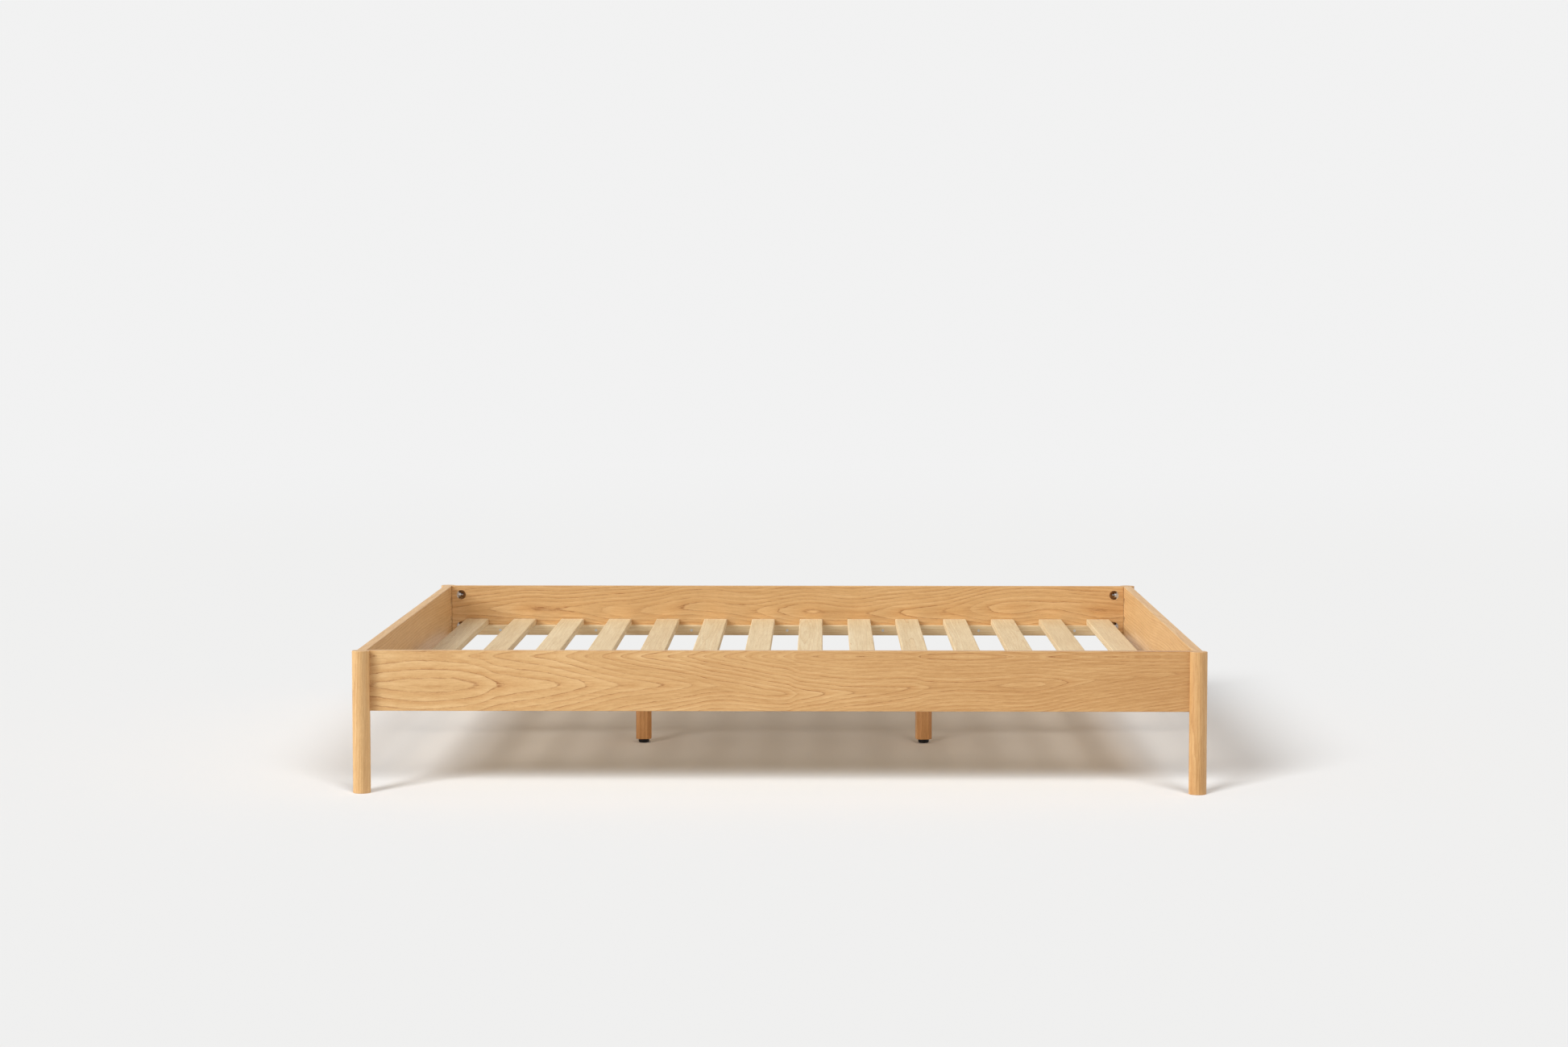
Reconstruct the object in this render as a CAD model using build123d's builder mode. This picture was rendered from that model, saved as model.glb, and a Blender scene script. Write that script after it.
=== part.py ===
"""Wooden king-size bed frame: four round posts, four rails, slatted deck, centre legs.

Millimetres, +Z up. The origin is on the floor under the middle of the bed. +X points to
the foot end, -X to the head end, -Y to the near side and +Y to the far side.
"""
import os

from build123d import *

# Overall size: a 1830 x 2030 mattress sits between the rails.
BED_LENGTH = 2120
BED_WIDTH = 1920
BED_HEIGHT = 355

# Round corner posts, standing straight on the floor and flush with the rails' tops.
POST_RADIUS = 22
POST_EDGE = 1.5
POST_X = BED_LENGTH / 2 - POST_RADIUS
POST_Y = BED_WIDTH / 2 - POST_RADIUS

# Rails. The side rails are set back from the posts' fronts; the end rails are centred on them.
RAIL_HEIGHT = 150
RAIL_THICKNESS = 24
RAIL_EDGE = 1.2
RAIL_BOTTOM = BED_HEIGHT - RAIL_HEIGHT
SIDE_SETBACK = 19
SIDE_OUTER_Y = BED_WIDTH / 2 - SIDE_SETBACK
SIDE_INNER_Y = SIDE_OUTER_Y - RAIL_THICKNESS
SIDE_MID_Y = SIDE_OUTER_Y - RAIL_THICKNESS / 2
END_INNER_X = POST_X - RAIL_THICKNESS / 2

# Notches in the posts: each rail's end stands on a shoulder and butts against a flat seat.
SIDE_SEAT = 13
END_SEAT = 14
SIDE_RAIL_END_X = POST_X - SIDE_SEAT
END_RAIL_END_Y = POST_Y - END_SEAT

# Corner bolts: a hanger bolt screwed in the post, a crescent washer and a nut in a round pocket.
BOLT_RADIUS = 4
BOLT_LENGTH = 60
BOLT_HOLE = 4.1
BOLT_SLIP_HOLE = 4.5
BOLT_TAIL = 5
BOLT_POINT = 0.8
HOLE_SPARE = 0.5
POCKET_RADIUS = 14
POCKET_DEPTH = 20.5
POCKET_SETBACK = 28
POCKET_CLEARANCE = 0.1
WASHER_CHORD = 8
WASHER_WIDTH = 15
NUT_ACROSS_FLATS = 13
NUT_THICKNESS = 6.5
SIDE_BOLT_HEIGHTS = (232, 328)
END_BOLT_HEIGHTS = (252, 308)

# Slatted deck.
SLAT_COUNT = 14
SLAT_WIDTH = 70
SLAT_THICKNESS = 18
SLAT_END_GAP = 2
SLAT_EDGE = 3
DECK_TOP = BED_HEIGHT - 100
SLAT_BOTTOM = DECK_TOP - SLAT_THICKNESS
FIRST_SLAT_MARGIN = 43
SLAT_SPAN = 2 * (END_INNER_X - FIRST_SLAT_MARGIN) - SLAT_WIDTH
SLAT_PITCH = SLAT_SPAN / (SLAT_COUNT - 1)
SLAT_POSITIONS = [-SLAT_SPAN / 2 + SLAT_PITCH * index for index in range(SLAT_COUNT)]

# Ledgers screwed along the side rails, and the centre beam on its steel hangers.
SUPPORT_HEIGHT = 30
SUPPORT_BOTTOM = SLAT_BOTTOM - SUPPORT_HEIGHT
SUPPORT_MID_Z = SUPPORT_BOTTOM + SUPPORT_HEIGHT / 2
LEDGER_WIDTH = 24
LEDGER_LENGTH = 1956
LEDGER_INNER_Y = SIDE_INNER_Y - LEDGER_WIDTH
LEDGER_MID_Y = SIDE_INNER_Y - LEDGER_WIDTH / 2
SUPPORT_EDGE = 2
BEAM_WIDTH = 60
BEAM_END_GAP = 1
HANGER_SHEET = 2
HANGER_REACH = 40
HANGER_EAR = 24
HANGER_BOTTOM = SUPPORT_BOTTOM - HANGER_SHEET
HANGER_CORNER = 4
HANGER_TOP_GAP = 1

# Wood screws.
SCREW_RADIUS = 2
SCREW_PILOT = 2.1
SCREW_POINT = 6
SCREW_POINT_CHAMFER = 1.7
SCREW_HEAD_RADIUS = 4
SCREW_SINK_RADIUS = 4.1
SCREW_HEAD_DEPTH = 2.5
SCREW_HEAD_EDGE = 1
SCREW_SOCKET = 1.5
SCREW_SOCKET_DEPTH = 1.6
SLAT_SCREW_LENGTH = 40
LEDGER_SCREW_LENGTH = 38
HANGER_SCREW_LENGTH = 18
HANGER_SCREW_HEIGHTS = (SUPPORT_BOTTOM + 8, SUPPORT_BOTTOM + 22)

# Centre legs: square stock with wide chamfers, each held to the beam by one hanger bolt.
LEG_X = 388
LEG_SIZE = 42
LEG_CHAMFER = 10
LEG_BOTTOM = 11
LEG_FOOT_EDGE = 0.8
LEG_TURN = {"head": 0, "foot": 10}
INSERT_RADIUS = 6
INSERT_BORE = 4.05
INSERT_HOLE = 6.1
LEG_INSERT_LENGTH = 18
BEAM_INSERT_LENGTH = 20
LEG_BOLT_DEPTH = 28
BEAM_INSERT_SPARE = 1

# Levelling feet: a nylon base that slides down as the threaded stud is turned in the leg.
BASE_RADIUS = 15
BASE_FLOOR_RADIUS = 11
BASE_HEIGHT = LEG_BOTTOM
BASE_SHOULDER = 5
BASE_TOP_EDGE = 0.6
SOCKET_RADIUS = 7
SOCKET_FLOOR = 3
SOCKET_ROOF = 8
MOUTH_RADIUS = 5.6
STUD_FLANGE_RADIUS = 6.7
STUD_FLANGE_TOP = 7.7
STUD_HEX_FLATS = 9
STUD_HEX_TOP = 10.6
STUD_TOP = 46
STUD_HOLE_RADIUS = 4.5
STUD_HOLE_TOP = 50

ENDS = {"head": -1, "foot": 1}
SIDES = {"near": -1, "far": 1}

os.makedirs("parts", exist_ok=True)


def save(part, label):
    """Label a finished piece and write its STEP file."""
    part.label = label
    export_step(part, f"parts/{label}.step")


def corner_signs():
    """The signs of X and Y at the four corners."""
    return [(end, side) for end in ENDS.values() for side in SIDES.values()]


def make_post(end, side):
    """One round post, notched above the rails' bottoms for the ends of both rails."""
    x = end * POST_X
    y = side * POST_Y
    hole_depth = BOLT_LENGTH - BOLT_TAIL - POCKET_SETBACK + HOLE_SPARE
    with BuildPart() as post:
        with BuildSketch(Plane.XY):
            with Locations((x, y)):
                Circle(POST_RADIUS)
        extrude(amount=BED_HEIGHT)
        fillet(post.edges().filter_by(GeomType.CIRCLE), POST_EDGE)
        with BuildSketch(Plane.XY.offset(RAIL_BOTTOM)):
            with Locations((end * (SIDE_RAIL_END_X - POST_RADIUS / 2), side * SIDE_MID_Y)):
                Rectangle(POST_RADIUS, RAIL_THICKNESS)
            with Locations((x - end * (SIDE_SEAT - RAIL_THICKNESS / 2) / 2,
                            side * (END_RAIL_END_Y - POST_RADIUS / 2))):
                Rectangle(SIDE_SEAT + RAIL_THICKNESS / 2, POST_RADIUS)
        extrude(amount=RAIL_HEIGHT, mode=Mode.SUBTRACT)
        with BuildSketch(Plane.YZ.offset(end * SIDE_RAIL_END_X)):
            with Locations(*[(side * SIDE_MID_Y, z) for z in SIDE_BOLT_HEIGHTS]):
                Circle(BOLT_HOLE)
        extrude(amount=end * hole_depth, mode=Mode.SUBTRACT)
        with BuildSketch(Plane.XZ.offset(-side * END_RAIL_END_Y)):
            with Locations(*[(x, z) for z in END_BOLT_HEIGHTS]):
                Circle(BOLT_HOLE)
        extrude(amount=-side * hole_depth, mode=Mode.SUBTRACT)
    return post.part


def ledger_screw_positions():
    """Ledger screws stand midway in every second gap between slats."""
    gaps = [x + SLAT_PITCH / 2 for x in SLAT_POSITIONS[:-1]]
    return gaps[::2]


def make_side_rail(side):
    """A side rail with its bolt pockets on the inner face and pilot holes for the ledger."""
    with BuildPart() as rail:
        with BuildSketch(Plane.YZ.offset(-SIDE_RAIL_END_X)):
            with Locations((side * SIDE_MID_Y, RAIL_BOTTOM + RAIL_HEIGHT / 2)):
                RectangleRounded(RAIL_THICKNESS, RAIL_HEIGHT, RAIL_EDGE)
        extrude(amount=2 * SIDE_RAIL_END_X)
        pocket_x = SIDE_RAIL_END_X - POCKET_SETBACK
        with BuildSketch(Plane.XZ.offset(-side * SIDE_INNER_Y)):
            with Locations(*[(end * pocket_x, z) for end in ENDS.values() for z in SIDE_BOLT_HEIGHTS]):
                Circle(POCKET_RADIUS)
        extrude(amount=-side * POCKET_DEPTH, mode=Mode.SUBTRACT)
        for end in ENDS.values():
            with BuildSketch(Plane.YZ.offset(end * SIDE_RAIL_END_X)):
                with Locations(*[(side * SIDE_MID_Y, z) for z in SIDE_BOLT_HEIGHTS]):
                    Circle(BOLT_SLIP_HOLE)
            extrude(amount=-end * POCKET_SETBACK, mode=Mode.SUBTRACT)
        with BuildSketch(Plane.XZ.offset(-side * SIDE_INNER_Y)):
            with Locations(*[(x, SUPPORT_MID_Z) for x in ledger_screw_positions()]):
                Circle(SCREW_PILOT)
        extrude(amount=-side * (LEDGER_SCREW_LENGTH - LEDGER_WIDTH + HOLE_SPARE), mode=Mode.SUBTRACT)
    return rail.part


def hanger_screw_sides():
    """The Y positions of the screws through the hangers' ears."""
    reach = BEAM_WIDTH / 2 + HANGER_SHEET + HANGER_EAR / 2
    return [-reach, reach]


def make_end_rail(end):
    """The head or foot rail, with bolt pockets and pilot holes for the beam's hanger."""
    with BuildPart() as rail:
        with BuildSketch(Plane.XZ.offset(END_RAIL_END_Y)):
            with Locations((end * POST_X, RAIL_BOTTOM + RAIL_HEIGHT / 2)):
                RectangleRounded(RAIL_THICKNESS, RAIL_HEIGHT, RAIL_EDGE)
        extrude(amount=-2 * END_RAIL_END_Y)
        pocket_y = END_RAIL_END_Y - POCKET_SETBACK
        with BuildSketch(Plane.YZ.offset(end * END_INNER_X)):
            with Locations(*[(side * pocket_y, z) for side in SIDES.values() for z in END_BOLT_HEIGHTS]):
                Circle(POCKET_RADIUS)
        extrude(amount=end * POCKET_DEPTH, mode=Mode.SUBTRACT)
        for side in SIDES.values():
            with BuildSketch(Plane.XZ.offset(-side * END_RAIL_END_Y)):
                with Locations(*[(end * POST_X, z) for z in END_BOLT_HEIGHTS]):
                    Circle(BOLT_SLIP_HOLE)
            extrude(amount=side * POCKET_SETBACK, mode=Mode.SUBTRACT)
        with BuildSketch(Plane.YZ.offset(end * END_INNER_X)):
            with Locations(*[(y, z) for y in hanger_screw_sides() for z in HANGER_SCREW_HEIGHTS]):
                Circle(SCREW_PILOT)
        extrude(amount=end * (HANGER_SCREW_LENGTH - HANGER_SHEET + HOLE_SPARE), mode=Mode.SUBTRACT)
    return rail.part


def make_ledger(side):
    """The cleat along a side rail that carries the slats' ends."""
    face_middle = (0, side * LEDGER_INNER_Y, SUPPORT_MID_Z)
    inner_face = Plane(origin=face_middle, x_dir=(1, 0, 0), z_dir=(0, -side, 0))
    with BuildPart() as ledger:
        with BuildSketch(Plane.YZ.offset(-LEDGER_LENGTH / 2)):
            with Locations((side * LEDGER_MID_Y, SUPPORT_MID_Z)):
                RectangleRounded(LEDGER_WIDTH, SUPPORT_HEIGHT, SUPPORT_EDGE)
        extrude(amount=LEDGER_LENGTH)
        with BuildSketch(Plane.XY.offset(SLAT_BOTTOM)):
            with Locations(*[(x, side * LEDGER_MID_Y) for x in SLAT_POSITIONS]):
                Circle(SCREW_PILOT)
        extrude(amount=-(SLAT_SCREW_LENGTH - SLAT_THICKNESS + HOLE_SPARE), mode=Mode.SUBTRACT)
        with Locations(inner_face):
            with Locations(*[(x, 0) for x in ledger_screw_positions()]):
                CounterSinkHole(SCREW_PILOT, SCREW_SINK_RADIUS, LEDGER_WIDTH)
    return ledger.part


def make_centre_beam():
    """The beam under the middle of the slats, bored from below for the leg inserts."""
    length = 2 * (END_INNER_X - BEAM_END_GAP)
    with BuildPart() as beam:
        with BuildSketch(Plane.YZ.offset(-length / 2)):
            with Locations((0, SUPPORT_MID_Z)):
                RectangleRounded(BEAM_WIDTH, SUPPORT_HEIGHT, SUPPORT_EDGE)
        extrude(amount=length)
        with BuildSketch(Plane.XY.offset(SUPPORT_BOTTOM)):
            with Locations((-LEG_X, 0), (LEG_X, 0)):
                Circle(INSERT_HOLE)
        extrude(amount=BEAM_INSERT_LENGTH + BEAM_INSERT_SPARE, mode=Mode.SUBTRACT)
    return beam.part


def make_beam_hanger(end):
    """A folded steel stirrup: a seat, two cheeks beside the beam, two ears on the end rail."""
    half = BEAM_WIDTH / 2
    cheek_top = SLAT_BOTTOM - HANGER_TOP_GAP
    reach_x = END_INNER_X - HANGER_REACH
    mid_x = end * (END_INNER_X + reach_x) / 2
    with BuildPart() as hanger:
        with BuildSketch(Plane.XY.offset(HANGER_BOTTOM)):
            with Locations((mid_x, 0)):
                Rectangle(HANGER_REACH, BEAM_WIDTH + 2 * HANGER_SHEET)
        extrude(amount=HANGER_SHEET)
        with BuildSketch(Plane.XY.offset(HANGER_BOTTOM)):
            with Locations(*[(mid_x, s * (half + HANGER_SHEET / 2)) for s in (-1, 1)]):
                Rectangle(HANGER_REACH, HANGER_SHEET)
            with Locations(*[(end * (END_INNER_X - HANGER_SHEET / 2), y) for y in hanger_screw_sides()]):
                Rectangle(HANGER_SHEET, HANGER_EAR + HANGER_SHEET)
        extrude(amount=cheek_top - HANGER_BOTTOM)
        corners = hanger.edges().filter_by(Axis.X).group_by(Axis.Z)[-1].group_by(Axis.Y)
        fillet(corners[0] + corners[-1], HANGER_CORNER)
        with BuildSketch(Plane.YZ.offset(end * (END_INNER_X - HANGER_SHEET))):
            with Locations(*[(y, z) for y in hanger_screw_sides() for z in HANGER_SCREW_HEIGHTS]):
                Circle(SCREW_PILOT)
        extrude(amount=end * HANGER_SHEET, mode=Mode.SUBTRACT)
    return hanger.part


def make_slat(x):
    """One slat across the bed, countersunk at each end for its screw."""
    length = 2 * (SIDE_INNER_Y - SLAT_END_GAP)
    with BuildPart() as slat:
        with BuildSketch(Plane.XZ.offset(length / 2)):
            with Locations((x, SLAT_BOTTOM + SLAT_THICKNESS / 2)):
                RectangleRounded(SLAT_WIDTH, SLAT_THICKNESS, SLAT_EDGE)
        extrude(amount=-length)
        with Locations((x, -LEDGER_MID_Y, DECK_TOP), (x, LEDGER_MID_Y, DECK_TOP)):
            CounterSinkHole(SCREW_PILOT, SCREW_SINK_RADIUS, SLAT_THICKNESS)
    return slat.part


def make_leg(end, turn):
    """A centre leg, bored at both ends along its axis."""
    x = end * LEG_X
    with BuildPart() as leg:
        with BuildSketch(Plane(origin=(x, 0, LEG_BOTTOM))) as section:
            Rectangle(LEG_SIZE, LEG_SIZE, rotation=turn)
            chamfer(section.vertices(), LEG_CHAMFER)
        extrude(amount=SUPPORT_BOTTOM - LEG_BOTTOM)
        fillet(leg.faces().sort_by(Axis.Z)[0].outer_wire().edges(), LEG_FOOT_EDGE)
        with BuildSketch(Plane(origin=(x, 0, LEG_BOTTOM))):
            Circle(INSERT_HOLE)
        extrude(amount=LEG_INSERT_LENGTH + HOLE_SPARE, mode=Mode.SUBTRACT)
        with BuildSketch(Plane(origin=(x, 0, LEG_BOTTOM))):
            Circle(STUD_HOLE_RADIUS)
        extrude(amount=STUD_HOLE_TOP - LEG_BOTTOM, mode=Mode.SUBTRACT)
        with BuildSketch(Plane(origin=(x, 0, SUPPORT_BOTTOM))):
            Circle(BOLT_HOLE)
        extrude(amount=-(LEG_BOLT_DEPTH + HOLE_SPARE), mode=Mode.SUBTRACT)
    return leg.part


def make_levelling_base(end):
    """The nylon base of a levelling foot, with a socket that holds the stud's flange."""
    with BuildPart() as base:
        with BuildSketch(Plane.XZ):
            with BuildLine():
                Polyline((0, SOCKET_FLOOR), (0, 0), (BASE_FLOOR_RADIUS, 0))
                TangentArc((BASE_RADIUS, BASE_SHOULDER), (BASE_FLOOR_RADIUS, 0), tangent=(0, -1))
                Polyline(
                    (BASE_RADIUS, BASE_SHOULDER),
                    (BASE_RADIUS, BASE_HEIGHT - BASE_TOP_EDGE),
                    (BASE_RADIUS - BASE_TOP_EDGE, BASE_HEIGHT),
                    (MOUTH_RADIUS, BASE_HEIGHT),
                    (MOUTH_RADIUS, SOCKET_ROOF),
                    (SOCKET_RADIUS, SOCKET_ROOF),
                    (SOCKET_RADIUS, SOCKET_FLOOR),
                    (0, SOCKET_FLOOR),
                )
            make_face()
        revolve(axis=Axis.Z)
    return base.part.moved(Location((end * LEG_X, 0, 0)))


def make_levelling_stud(end):
    """The steel stud: a flange captive in the base, a hexagon for the spanner, an M8 shank."""
    with BuildPart() as stud:
        with BuildSketch(Plane(origin=(end * LEG_X, 0, SOCKET_FLOOR))):
            Circle(STUD_FLANGE_RADIUS)
        extrude(amount=STUD_FLANGE_TOP - SOCKET_FLOOR)
        with BuildSketch(Plane(origin=(end * LEG_X, 0, STUD_FLANGE_TOP))):
            RegularPolygon(STUD_HEX_FLATS / 2, 6, major_radius=False)
        extrude(amount=STUD_HEX_TOP - STUD_FLANGE_TOP)
        with BuildSketch(Plane(origin=(end * LEG_X, 0, STUD_HEX_TOP))):
            Circle(BOLT_RADIUS)
        extrude(amount=STUD_TOP - STUD_HEX_TOP)
        chamfer(stud.edges().sort_by(Axis.Z)[-1], BOLT_POINT)
    return stud.part


def make_insert(length):
    """A threaded insert with a plain bore, standing on the origin."""
    with BuildPart() as insert:
        with BuildSketch(Plane.XY):
            Circle(INSERT_RADIUS)
            Circle(INSERT_BORE, mode=Mode.SUBTRACT)
        extrude(amount=length)
    return insert.part


def make_bolt(length, tail):
    """A headless M8 bolt along X, reaching back by its tail from the origin."""
    with BuildPart() as bolt:
        with BuildSketch(Plane.YZ.offset(-tail)):
            Circle(BOLT_RADIUS)
        extrude(amount=length)
        chamfer(bolt.edges().filter_by(GeomType.CIRCLE), BOLT_POINT)
    return bolt.part


def make_nut():
    """A hexagon nut along X, ending at the crescent washer's flat."""
    with BuildPart() as nut:
        with BuildSketch(Plane.YZ.offset(WASHER_CHORD - NUT_THICKNESS)):
            RegularPolygon(NUT_ACROSS_FLATS / 2, 6, major_radius=False)
            Circle(BOLT_HOLE, mode=Mode.SUBTRACT)
        extrude(amount=NUT_THICKNESS)
    return nut.part


def make_crescent_washer():
    """A washer with a flat for the nut and a round back that fits the pocket's wall."""
    with BuildPart() as washer:
        with BuildSketch(Plane.XZ):
            Circle(POCKET_RADIUS - POCKET_CLEARANCE)
            with Locations((WASHER_CHORD - POCKET_RADIUS, 0)):
                Rectangle(2 * POCKET_RADIUS, 2 * POCKET_RADIUS, mode=Mode.SUBTRACT)
        extrude(amount=WASHER_WIDTH / 2, both=True)
        with BuildSketch(Plane.YZ):
            Circle(BOLT_HOLE)
        extrude(amount=POCKET_RADIUS, mode=Mode.SUBTRACT)
    return washer.part


def make_screw(length):
    """A countersunk wood screw, its head's top at the origin and its point down."""
    with BuildPart() as screw:
        with BuildSketch(Plane.XZ):
            with BuildLine():
                Polyline(
                    (0, 0),
                    (SCREW_HEAD_RADIUS, 0),
                    (SCREW_RADIUS, -(SCREW_HEAD_RADIUS - SCREW_RADIUS)),
                    (SCREW_RADIUS, SCREW_POINT - length),
                    (0, -length),
                    (0, 0),
                )
            make_face()
        revolve(axis=Axis.Z)
        with BuildSketch(Plane.XY):
            RegularPolygon(SCREW_SOCKET, 6)
        extrude(amount=-SCREW_SOCKET_DEPTH, mode=Mode.SUBTRACT)
    return screw.part


def make_pan_screw(length):
    """A pan-head wood screw, the underside of its head at the origin and its point down."""
    with BuildPart() as screw:
        with BuildSketch(Plane.XY):
            Circle(SCREW_HEAD_RADIUS)
        extrude(amount=SCREW_HEAD_DEPTH)
        fillet(screw.edges().group_by(Axis.Z)[-1], SCREW_HEAD_EDGE)
        with BuildSketch(Plane.XY.offset(SCREW_HEAD_DEPTH)):
            RegularPolygon(SCREW_SOCKET, 6)
        extrude(amount=-SCREW_SOCKET_DEPTH, mode=Mode.SUBTRACT)
        with BuildSketch(Plane.XY):
            Circle(SCREW_RADIUS)
        extrude(amount=-length)
        chamfer(screw.edges().group_by(Axis.Z)[0], SCREW_POINT_CHAMFER)
    return screw.part


def corner_bolt_places():
    """Where the corner bolts' washers stand: the centre of each pocket, +X towards the post."""
    side_x = SIDE_RAIL_END_X - POCKET_SETBACK
    end_y = END_RAIL_END_Y - POCKET_SETBACK
    places = []
    for end, side in corner_signs():
        for z in SIDE_BOLT_HEIGHTS:
            turn = 0 if end > 0 else 180
            places.append(Location((end * side_x, side * SIDE_MID_Y, z), (0, 0, turn)))
        for z in END_BOLT_HEIGHTS:
            places.append(Location((end * POST_X, side * end_y, z), (0, 0, side * 90)))
    return places


def make_group(piece, places):
    """Identical fasteners, each a solid of its own at its place."""
    with BuildPart() as group:
        with Locations(*places):
            add(piece)
    return group.part


# Posts and rails.
for end_name, end in ENDS.items():
    for side_name, side in SIDES.items():
        save(make_post(end, side), f"{end_name}_{side_name}_post")
    save(make_end_rail(end), f"{end_name}_rail")
for side_name, side in SIDES.items():
    save(make_side_rail(side), f"{side_name}_side_rail")
    save(make_ledger(side), f"{side_name}_slat_ledger")

# Centre beam, hangers, legs and levelling feet.
save(make_centre_beam(), "centre_beam")
for end_name, end in ENDS.items():
    save(make_beam_hanger(end), f"{end_name}_beam_hanger")
    save(make_leg(end, LEG_TURN[end_name]), f"{end_name}_centre_leg")
    save(make_levelling_base(end), f"{end_name}_levelling_base")
    save(make_levelling_stud(end), f"{end_name}_levelling_stud")

# Slats, numbered from the head end.
for number, slat_x in enumerate(SLAT_POSITIONS, start=1):
    save(make_slat(slat_x), f"slat_{number:02d}")

# Corner bolts with their washers and nuts.
save(make_group(make_bolt(BOLT_LENGTH, BOLT_TAIL), corner_bolt_places()), "corner_hanger_bolts")
save(make_group(make_crescent_washer(), corner_bolt_places()), "corner_crescent_washers")
save(make_group(make_nut(), corner_bolt_places()), "corner_nuts")

# Bolts and inserts of the centre legs.
leg_places = [Location((end * LEG_X, 0, LEG_BOTTOM)) for end in ENDS.values()]
beam_places = [Location((end * LEG_X, 0, SUPPORT_BOTTOM)) for end in ENDS.values()]
upright = [Location((end * LEG_X, 0, SUPPORT_BOTTOM), (0, -90, 0)) for end in ENDS.values()]
save(make_group(make_insert(LEG_INSERT_LENGTH), leg_places), "leg_inserts")
save(make_group(make_insert(BEAM_INSERT_LENGTH), beam_places), "beam_inserts")
leg_bolt = make_bolt(LEG_BOLT_DEPTH + BEAM_INSERT_LENGTH - BEAM_INSERT_SPARE, LEG_BOLT_DEPTH)
save(make_group(leg_bolt, upright), "leg_hanger_bolts")

# Wood screws.
slat_screw_places = [
    Location((x, side * LEDGER_MID_Y, DECK_TOP)) for x in SLAT_POSITIONS for side in SIDES.values()
]
save(make_group(make_screw(SLAT_SCREW_LENGTH), slat_screw_places), "slat_screws")
ledger_screw_places = [
    Location((x, side * LEDGER_INNER_Y, SUPPORT_MID_Z), (side * 90, 0, 0))
    for x in ledger_screw_positions()
    for side in SIDES.values()
]
save(make_group(make_screw(LEDGER_SCREW_LENGTH), ledger_screw_places), "ledger_screws")
hanger_screw_places = [
    Location((end * (END_INNER_X - HANGER_SHEET), y, z), (0, -end * 90, 0))
    for end in ENDS.values()
    for y in hanger_screw_sides()
    for z in HANGER_SCREW_HEIGHTS
]
save(make_group(make_pan_screw(HANGER_SCREW_LENGTH), hanger_screw_places), "hanger_screws")
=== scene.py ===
import math

import bpy
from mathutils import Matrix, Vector


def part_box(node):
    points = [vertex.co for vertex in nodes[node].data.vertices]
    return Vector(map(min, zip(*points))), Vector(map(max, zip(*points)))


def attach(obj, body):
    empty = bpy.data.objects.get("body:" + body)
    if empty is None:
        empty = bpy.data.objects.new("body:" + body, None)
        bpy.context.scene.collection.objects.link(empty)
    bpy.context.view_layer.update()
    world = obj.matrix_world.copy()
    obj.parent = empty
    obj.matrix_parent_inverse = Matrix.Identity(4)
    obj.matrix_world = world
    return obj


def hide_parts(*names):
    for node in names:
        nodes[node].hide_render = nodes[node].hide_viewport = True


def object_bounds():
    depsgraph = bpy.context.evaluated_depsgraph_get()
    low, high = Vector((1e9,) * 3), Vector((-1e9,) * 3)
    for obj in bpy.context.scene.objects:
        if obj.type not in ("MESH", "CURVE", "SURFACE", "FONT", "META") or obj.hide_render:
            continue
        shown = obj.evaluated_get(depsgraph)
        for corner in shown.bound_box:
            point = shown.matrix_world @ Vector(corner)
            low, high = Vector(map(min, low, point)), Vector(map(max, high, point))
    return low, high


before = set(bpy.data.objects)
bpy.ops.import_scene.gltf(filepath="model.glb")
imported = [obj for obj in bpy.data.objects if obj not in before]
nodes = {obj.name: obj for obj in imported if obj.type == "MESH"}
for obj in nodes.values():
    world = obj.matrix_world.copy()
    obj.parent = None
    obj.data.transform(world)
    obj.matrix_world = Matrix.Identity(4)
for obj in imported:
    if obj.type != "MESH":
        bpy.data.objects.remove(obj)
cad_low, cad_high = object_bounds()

# ---------------------------------------------------------------------------
# Camera: a long lens well back from the near side, 1.2 m above the floor and
# tilted slightly down, so that the bed is seen nearly square-on.
# ---------------------------------------------------------------------------
camera_data = bpy.data.cameras.new("camera")
camera_data.sensor_width = 36.0
camera_data.lens = 73.75
camera = bpy.data.objects.new("camera", camera_data)
camera.location = (0.107, -8.856, 1.2038)
camera_tilt_down = 0.0671
camera_turn_left = 0.01197
camera.rotation_euler = (math.pi / 2 - camera_tilt_down, 0.0, camera_turn_left)
bpy.context.scene.collection.objects.link(camera)
bpy.context.scene.camera = camera
bpy.context.scene.view_settings.view_transform = "Standard"

# ---------------------------------------------------------------------------
# Studio: a seamless pale floor that fades into the backdrop, inside an even,
# slightly warm surround that looks plain grey to the camera and in reflections.
# ---------------------------------------------------------------------------
backdrop_grey = (0.886, 0.886, 0.886, 1.0)
floor_white = (0.845, 0.845, 0.845, 1.0)
floor_radius = 60.0
fade_start, fade_end = 6.0, 16.0

bpy.ops.object.select_all(action="DESELECT")
bpy.ops.mesh.primitive_circle_add(vertices=96, radius=floor_radius, fill_type="NGON")
floor = bpy.context.active_object
floor.name = "studio_floor"
floor_material = bpy.data.materials.new("studio_floor")
floor_material.use_nodes = True
floor_tree = floor_material.node_tree
floor_tree.nodes.clear()
floor_place = floor_tree.nodes.new("ShaderNodeTexCoord")
floor_reach = floor_tree.nodes.new("ShaderNodeVectorMath")
floor_reach.operation = "LENGTH"
floor_fade = floor_tree.nodes.new("ShaderNodeMapRange")
floor_fade.interpolation_type = "SMOOTHSTEP"
floor_fade.inputs["From Min"].default_value = fade_start
floor_fade.inputs["From Max"].default_value = fade_end
floor_matt = floor_tree.nodes.new("ShaderNodeBsdfDiffuse")
floor_matt.inputs["Color"].default_value = floor_white
floor_glow = floor_tree.nodes.new("ShaderNodeEmission")
floor_glow.inputs["Color"].default_value = backdrop_grey
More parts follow.
